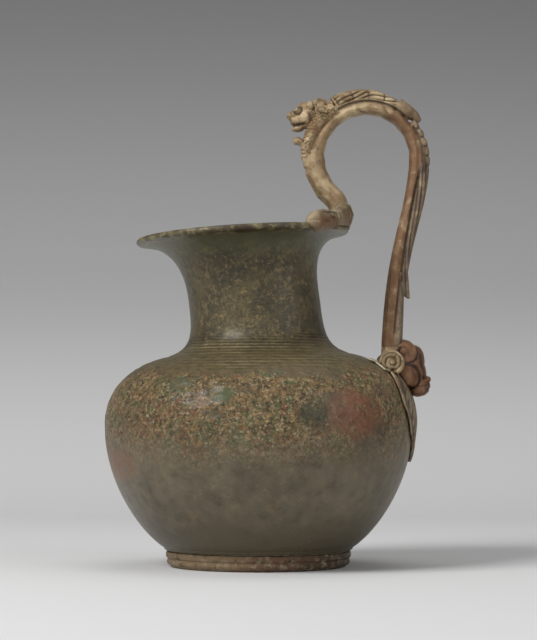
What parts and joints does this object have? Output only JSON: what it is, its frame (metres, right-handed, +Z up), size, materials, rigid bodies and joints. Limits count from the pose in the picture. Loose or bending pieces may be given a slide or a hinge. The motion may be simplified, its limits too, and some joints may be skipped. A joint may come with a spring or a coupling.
{
  "type": "oinochoe",
  "caption": "Bronze wine jug with a round flared mouth, squat belly, low foot ring and one high cast handle with a lion's head and paw.",
  "frame": {"origin": "the vessel's axis at the height that the foot ring stands on", "axes": "+Z up along the vessel's axis; +X towards the handle; the mouth leans towards -X"},
  "size_m": [0.1465, 0.1382, 0.2146],
  "materials": {
    "vessel_bronze": "corroded olive-brown patina with green, ochre and red encrustation",
    "foot_bronze": "tan and brown patina, worn on the mouldings",
    "handle_bronze": "cream and light brown patina with dark recesses",
    "arm_bronze": "reddish patina with pale green",
    "paw_bronze": "smooth chestnut to near black patina",
    "plate_bronze": "grey-brown patina with pale ribs",
    "solder": "dull whitish corroded soft solder"
  },
  "bodies": {
    "root": {"vessel_body": "vessel_bronze", "base_disc": "foot_bronze", "foot_ring": "foot_bronze", "foot_solder": "solder", "handle_bar": "handle_bronze", "lion_head": "handle_bronze", "lion_ruff": "handle_bronze", "neck_mane": "handle_bronze", "chin_leaf": "handle_bronze", "arch_mane": "handle_bronze", "arch_leaf": "handle_bronze", "back_leaf": "handle_bronze", "rim_arm_near": "arm_bronze", "rim_arm_far": "arm_bronze", "rim_solder": "solder", "scroll_near": "handle_bronze", "scroll_far": "handle_bronze", "lion_paw": "paw_bronze", "leaf_plate": "plate_bronze", "shoulder_solder": "solder"}
  },
  "joints": []
}
